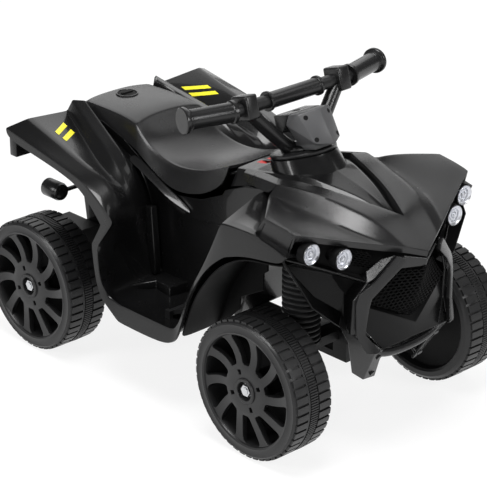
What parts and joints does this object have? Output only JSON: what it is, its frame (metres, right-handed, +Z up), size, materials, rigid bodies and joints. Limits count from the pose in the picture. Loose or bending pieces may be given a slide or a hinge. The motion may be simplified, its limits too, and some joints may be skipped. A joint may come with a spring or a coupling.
{
  "type": "children's ride-on quad bike",
  "caption": "Small black ride-on electric quad bike for a child, with moulded fenders and hood, a steered front axle, a hinged hard seat, spoked plastic wheels and round headlamps.",
  "frame": {"origin": "on the ground below the middle of the bounding box, in the plane of symmetry", "axes": "+X forwards, +Y to the rider's left, +Z up"},
  "size_m": [0.701, 0.415, 0.4643],
  "materials": {
    "body_gloss": "gloss black",
    "hood_satin": "satin black",
    "seat_satin": "satin black",
    "black_moulding": "matt black",
    "grip_plastic": "matt black",
    "wheel_plastic": "satin black",
    "bellows_rubber": "matt black",
    "black_steel": "black",
    "zinc_steel": "zinc",
    "lamp_chrome": "mirror",
    "lamp_clear": "clear",
    "switch_red": "gloss red",
    "battery_case": "matt"
  },
  "bodies": {
    "chassis": {"main_body": "body_gloss", "front_fascia": "body_gloss", "console_cover": "body_gloss", "front_hood": "hood_satin", "grille_panel": "black_moulding", "headlight_pods": "black_moulding", "steering_ring": "black_moulding", "exhaust_tips": "black_moulding", "switch_housing": "black_moulding", "pedal_bracket": "black_moulding", "pedal_switch": "black_moulding", "gearbox": "black_moulding", "chassis_pan": "black_moulding", "front_beam": "black_moulding", "bumper_bar": "black_moulding", "bellows_left": "bellows_rubber", "bellows_right": "bellows_rubber", "axle_nut_rear_left": "zinc_steel", "axle_nut_rear_right": "zinc_steel", "rear_axle": "zinc_steel", "kingpins": "zinc_steel", "seat_hinge_pin": "zinc_steel", "fascia_screws": "zinc_steel", "drive_motor": "zinc_steel", "headlight_reflectors": "lamp_chrome", "headlight_lenses": "lamp_clear", "battery": "battery_case"},
    "handlebar": {"steering_column": "black_steel", "steering_crank": "black_moulding", "handlebar_fork": "hood_satin", "handlebar_bar": "black_steel", "bar_sleeve": "black_moulding", "grip_left": "grip_plastic", "grip_right": "grip_plastic", "pod_front_cover": "body_gloss", "pod_rear_cover": "hood_satin", "pod_screws": "zinc_steel"},
    "horn_button": {"horn_button": "black_moulding"},
    "music_button": {"music_button": "black_moulding"},
    "knuckle_left": {"knuckle_left": "black_moulding", "stub_axle_left": "zinc_steel", "axle_nut_front_left": "zinc_steel"},
    "knuckle_right": {"knuckle_right": "black_moulding", "stub_axle_right": "zinc_steel", "axle_nut_front_right": "zinc_steel"},
    "wheel_front_left": {"wheel_front_left_outer": "wheel_plastic", "wheel_front_left_inner": "wheel_plastic"},
    "wheel_front_right": {"wheel_front_right_outer": "wheel_plastic", "wheel_front_right_inner": "wheel_plastic"},
    "wheel_rear_left": {"wheel_rear_left_outer": "wheel_plastic", "wheel_rear_left_inner": "wheel_plastic"},
    "wheel_rear_right": {"wheel_rear_right_outer": "wheel_plastic", "wheel_rear_right_inner": "wheel_plastic", "drive_coupler": "black_moulding"},
    "tie_rod": {"tie_rod": "black_steel"},
    "seat": {"seat": "seat_satin"},
    "seat_lock": {"seat_lock": "black_moulding"},
    "pedal": {"pedal": "black_moulding"},
    "power_rocker": {"power_rocker": "switch_red"},
    "direction_rocker": {"direction_rocker": "black_moulding"}
  },
  "joints": [
    {"name": "handlebar_turn", "type": "hinge", "parent": "chassis", "child": "handlebar", "pos_m": [0.118, 0, 0.352], "axis": [-0.2786, 0, 0.9604], "range_deg": [-23, 23]},
    {"name": "knuckle_left_turn", "type": "hinge", "parent": "chassis", "child": "knuckle_left", "pos_m": [0.2145, 0.112, 0.1], "axis": [0, 0, 1], "range_deg": [-20, 20]},
    {"name": "knuckle_right_turn", "type": "hinge", "parent": "chassis", "child": "knuckle_right", "pos_m": [0.2145, -0.112, 0.1], "axis": [0, 0, 1], "range_deg": [-20, 20]},
    {"name": "tie_rod_slide", "type": "slide", "parent": "chassis", "child": "tie_rod", "axis": [0, 1, 0], "range_m": [-0.0106, 0.0106]},
    {"name": "wheel_front_left_spin", "type": "hinge", "parent": "knuckle_left", "child": "wheel_front_left", "pos_m": [0.2145, 0.17125, 0.1], "axis": [0, 1, 0], "continuous": true},
    {"name": "wheel_front_right_spin", "type": "hinge", "parent": "knuckle_right", "child": "wheel_front_right", "pos_m": [0.2145, -0.17125, 0.1], "axis": [0, 1, 0], "continuous": true},
    {"name": "wheel_rear_left_spin", "type": "hinge", "parent": "chassis", "child": "wheel_rear_left", "pos_m": [-0.2505, 0.17125, 0.1], "axis": [0, 1, 0], "continuous": true},
    {"name": "wheel_rear_right_spin", "type": "hinge", "parent": "chassis", "child": "wheel_rear_right", "pos_m": [-0.2505, -0.17125, 0.1], "axis": [0, 1, 0], "continuous": true},
    {"name": "seat_lift", "type": "hinge", "parent": "chassis", "child": "seat", "pos_m": [0.016, 0, 0.311], "axis": [0, 1, 0], "range_deg": [0, 45]},
    {"name": "seat_lock_turn", "type": "hinge", "parent": "seat", "child": "seat_lock", "pos_m": [-0.259, 0, 0.34], "axis": [0, 0, 1], "range_deg": [0, 90]},
    {"name": "pedal_press", "type": "hinge", "parent": "chassis", "child": "pedal", "pos_m": [-0.002, -0.13, 0.1221], "axis": [0, 1, 0], "range_deg": [0, 8], "stiffness_Nm_per_rad": 1.5, "springref_deg": -5.73},
    {"name": "power_rocker_tilt", "type": "hinge", "parent": "chassis", "child": "power_rocker", "pos_m": [0.048, 0.009, 0.3187], "axis": [0, 1, 0], "range_deg": [0, 6]},
    {"name": "direction_rocker_tilt", "type": "hinge", "parent": "chassis", "child": "direction_rocker", "pos_m": [0.048, -0.009, 0.3187], "axis": [0, 1, 0], "range_deg": [0, 6]},
    {"name": "horn_button_press", "type": "slide", "parent": "handlebar", "child": "horn_button", "axis": [0.9604, 0, 0.2786], "range_m": [0, 0.002], "stiffness_N_per_m": 300, "springref_m": -0.002},
    {"name": "music_button_press", "type": "slide", "parent": "handlebar", "child": "music_button", "axis": [0.9604, 0, 0.2786], "range_m": [0, 0.002], "stiffness_N_per_m": 300, "springref_m": -0.002}
  ],
  "couplings": [
    {"joint": "knuckle_left_turn", "follows": "handlebar_turn", "ratio": 0.867},
    {"joint": "knuckle_right_turn", "follows": "handlebar_turn", "ratio": 0.867},
    {"joint": "tie_rod_slide", "follows": "handlebar_turn", "m_per_rad": -0.026}
  ]
}
